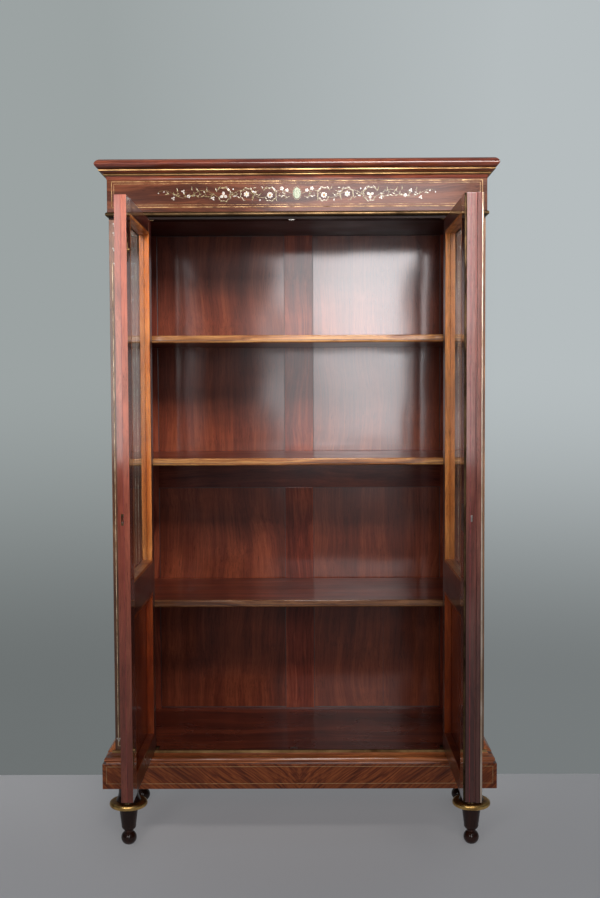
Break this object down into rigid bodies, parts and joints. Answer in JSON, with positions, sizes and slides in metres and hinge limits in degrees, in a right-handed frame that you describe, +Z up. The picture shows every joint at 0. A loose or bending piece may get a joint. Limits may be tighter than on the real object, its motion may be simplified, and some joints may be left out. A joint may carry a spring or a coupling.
{
  "type": "glazed bookcase",
  "caption": "Tall glazed two-door bookcase with adjustable shelves on toothed racks, marquetry frieze, moulded crown and turned feet.",
  "frame": {"origin": "middle of the footprint at floor level, with both doors open at a right angle", "axes": "+Z up, +X to the viewer's right, the front looks along -Y"},
  "size_m": [1.174, 0.948, 2.04],
  "materials": {
    "rosewood": "French-polished dark rosewood veneer",
    "mahogany": "polished mahogany",
    "mahogany_interior": "polished mahogany, darkened",
    "door_wood": "polished rosewood edge",
    "secondary_wood": "sawn and planed, unpolished",
    "ebonised": "ebonised and polished",
    "brass": "polished, slightly toned",
    "brass_aged": "toned",
    "glass": "clear",
    "steel": "worn bright"
  },
  "bodies": {
    "carcass": {"foot_front_left": "ebonised", "foot_front_right": "ebonised", "foot_rear_left": "ebonised", "foot_rear_right": "ebonised", "foot_rings": "brass", "plinth_front": "rosewood", "plinth_sides_and_back": "rosewood", "plinth_corner_blocks": "secondary_wood", "base_board": "mahogany_interior", "base_moulding": "mahogany", "base_side_mouldings": "mahogany", "brass_fillets": "brass", "pilaster_left": "rosewood", "pilaster_right": "rosewood", "side_left": "rosewood", "side_right": "rosewood", "head_rail": "mahogany", "ceiling_board": "mahogany_interior", "astragal_moulding": "brass_aged", "frieze_front": "rosewood", "frieze_returns": "rosewood", "crown_moulding": "mahogany", "top_board": "secondary_wood", "back_uprights": "mahogany_interior", "back_rails": "mahogany_interior", "back_panels": "mahogany_interior", "shelf_racks": "mahogany_interior", "shelf_cleats": "mahogany_interior", "pivot_plates": "brass", "bolt_strikes": "steel"},
    "shelf_lower": {"shelf_lower": "mahogany", "shelf_lower_lipping": "mahogany"},
    "shelf_middle": {"shelf_middle": "mahogany", "shelf_middle_lipping": "mahogany"},
    "shelf_upper": {"shelf_upper": "mahogany", "shelf_upper_lipping": "mahogany"},
    "left_door": {"left_hinge_stile": "door_wood", "left_meeting_stile": "door_wood", "left_rails": "door_wood", "left_glass": "glass", "left_panel": "mahogany_interior", "left_beads": "mahogany", "left_hinge_leaves": "brass", "bolt_guide_plates": "brass", "lock_keeper": "brass_aged"},
    "top_bolt": {"top_bolt": "brass"},
    "bottom_bolt": {"bottom_bolt": "brass"},
    "right_door": {"right_hinge_stile": "door_wood", "right_meeting_stile": "door_wood", "right_rails": "door_wood", "right_glass": "glass", "right_panel": "mahogany_interior", "right_beads": "mahogany", "right_hinge_leaves": "brass", "meeting_strip": "brass_aged", "cover_strip": "door_wood", "cover_bead": "brass", "lock_case": "steel", "escutcheon": "brass"},
    "lock_bolt": {"lock_bolt": "steel"}
  },
  "joints": [
    {"name": "left_door_swing", "type": "hinge", "parent": "carcass", "child": "left_door", "pos_m": [-0.464, -0.004, 1.083], "axis": [0, 0, 1], "range_deg": [-20, 90]},
    {"name": "right_door_swing", "type": "hinge", "parent": "carcass", "child": "right_door", "pos_m": [0.464, -0.004, 1.083], "axis": [0, 0, 1], "range_deg": [-90, 20]},
    {"name": "top_bolt_slide", "type": "slide", "parent": "left_door", "child": "top_bolt", "axis": [0, 0, 1], "range_m": [0, 0.01]},
    {"name": "bottom_bolt_slide", "type": "slide", "parent": "left_door", "child": "bottom_bolt", "axis": [0, 0, -1], "range_m": [0, 0.012]},
    {"name": "lock_bolt_slide", "type": "slide", "parent": "right_door", "child": "lock_bolt", "axis": [0, -1, 0], "range_m": [0, 0.011]},
    {"name": "shelf_lower_lift", "type": "slide", "parent": "carcass", "child": "shelf_lower", "axis": [0, 0, 1], "range_m": [0, 0.061]},
    {"name": "shelf_middle_lift", "type": "slide", "parent": "carcass", "child": "shelf_middle", "axis": [0, 0, 1], "range_m": [0, 0.061]},
    {"name": "shelf_upper_lift", "type": "slide", "parent": "carcass", "child": "shelf_upper", "axis": [0, 0, 1], "range_m": [0, 0.061]}
  ]
}
